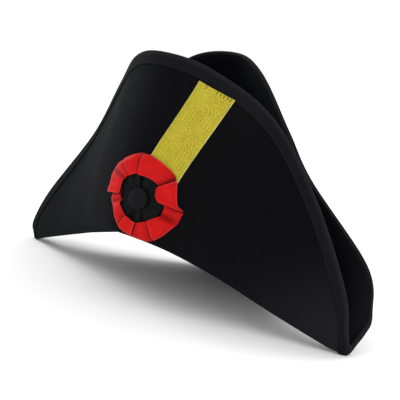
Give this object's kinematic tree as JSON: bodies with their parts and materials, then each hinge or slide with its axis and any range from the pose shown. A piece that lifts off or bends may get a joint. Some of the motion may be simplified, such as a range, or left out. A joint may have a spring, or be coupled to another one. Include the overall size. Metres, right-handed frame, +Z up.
{
  "type": "bicorne hat",
  "caption": "Black felt bicorne with a brim turned up front and back into two tall flaps, a gold brocade strap and a pleated red and black cockade.",
  "frame": {"origin": "on the surface that the hat rests on, under the middle of its bounding box", "axes": "+X from horn to horn, towards the right of someone who faces the front flap; -Y out of the front flap, with the cockade; +Z up"},
  "size_m": [0.4664, 0.2247, 0.2505],
  "materials": {
    "crown_felt": "matte black wool felt",
    "brim_felt": "matte black wool felt",
    "band_felt": "matte charcoal felt band, stitched",
    "strap_brocade": "mustard gold brocade ribbon with a fine woven relief",
    "red_ribbon": "red ribbon with a slight sheen",
    "black_ribbon": "black ribbon with a slight sheen",
    "button_cloth": "matte black cloth over a button form"
  },
  "bodies": {
    "root": {"crown": "crown_felt", "brim": "brim_felt", "edge_band": "band_felt", "strap": "strap_brocade", "cockade_red": "red_ribbon", "cockade_black": "black_ribbon", "cockade_button": "button_cloth"}
  },
  "joints": []
}
